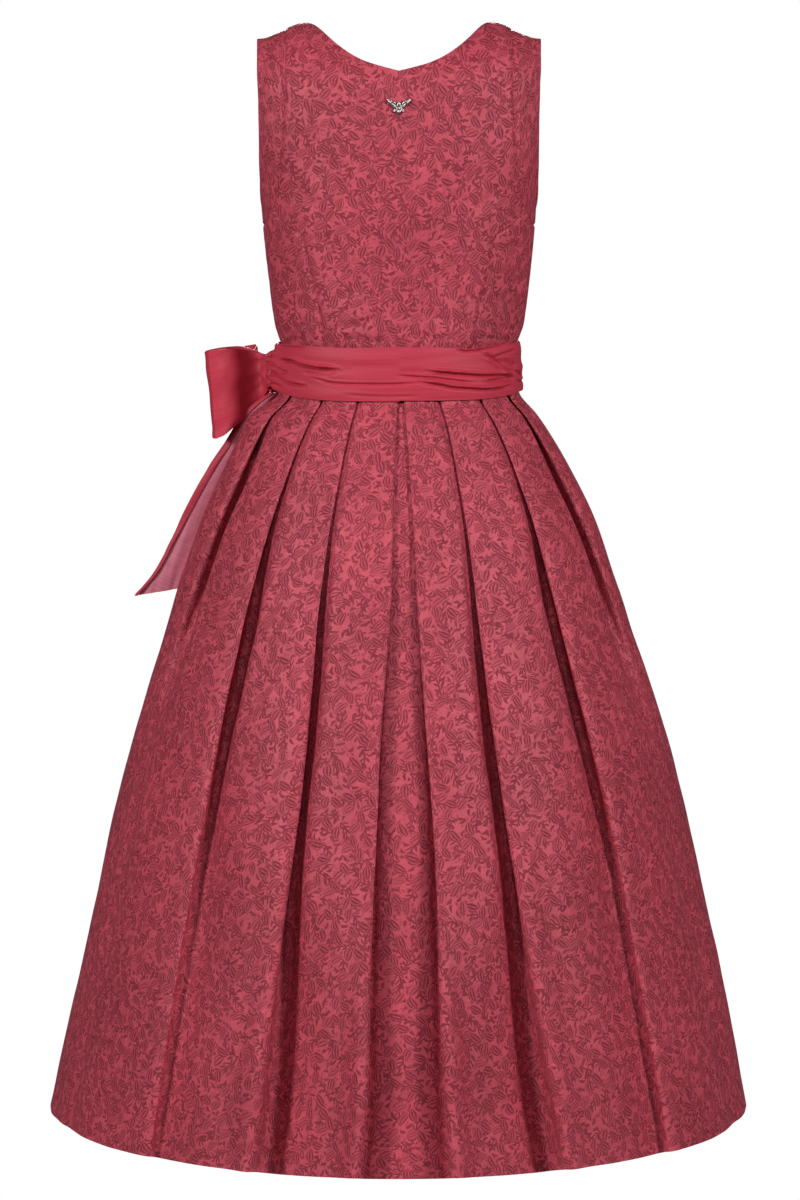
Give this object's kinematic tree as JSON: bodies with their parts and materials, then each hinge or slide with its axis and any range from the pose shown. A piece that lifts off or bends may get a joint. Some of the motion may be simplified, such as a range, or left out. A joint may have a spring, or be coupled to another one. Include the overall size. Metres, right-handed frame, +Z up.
{
  "type": "dirndl dress with apron",
  "caption": "Sleeveless midi dirndl with a shallow V back, a fitted brocade bodice and pleated skirt, and a satin apron tied in a bow at the side.",
  "frame": {"origin": "middle of the shoulder line, between the two shoulder straps where they rest on the wearer", "axes": "+Z up, front of the dress towards -Y, the wearer's left and the bow towards +X"},
  "size_m": [0.7694, 0.6609, 1.1855],
  "materials": {
    "brocade": "raspberry jacquard cloth, tone on tone tulips and leaves, soft sheen",
    "satin": "deep raspberry satin, smooth, with a broad soft highlight",
    "silver": "polished cast silver-coloured metal"
  },
  "bodies": {
    "root": {"bodice_back": "brocade", "bodice_back_side_left": "brocade", "bodice_back_side_right": "brocade", "bodice_front_left": "brocade", "bodice_front_right": "brocade", "bodice_front_side_left": "brocade", "bodice_front_side_right": "brocade", "armhole_band_left": "brocade", "armhole_band_right": "brocade", "skirt_back_left": "brocade", "skirt_back_right": "brocade", "skirt_front_left": "brocade", "skirt_front_right": "brocade", "apron_panel": "satin", "apron_waistband": "satin", "bow_knot": "satin", "bow_loop_back": "satin", "bow_loop_front": "satin", "bow_tail_back": "satin", "bow_tail_front": "satin", "ornament": "silver"}
  },
  "joints": []
}
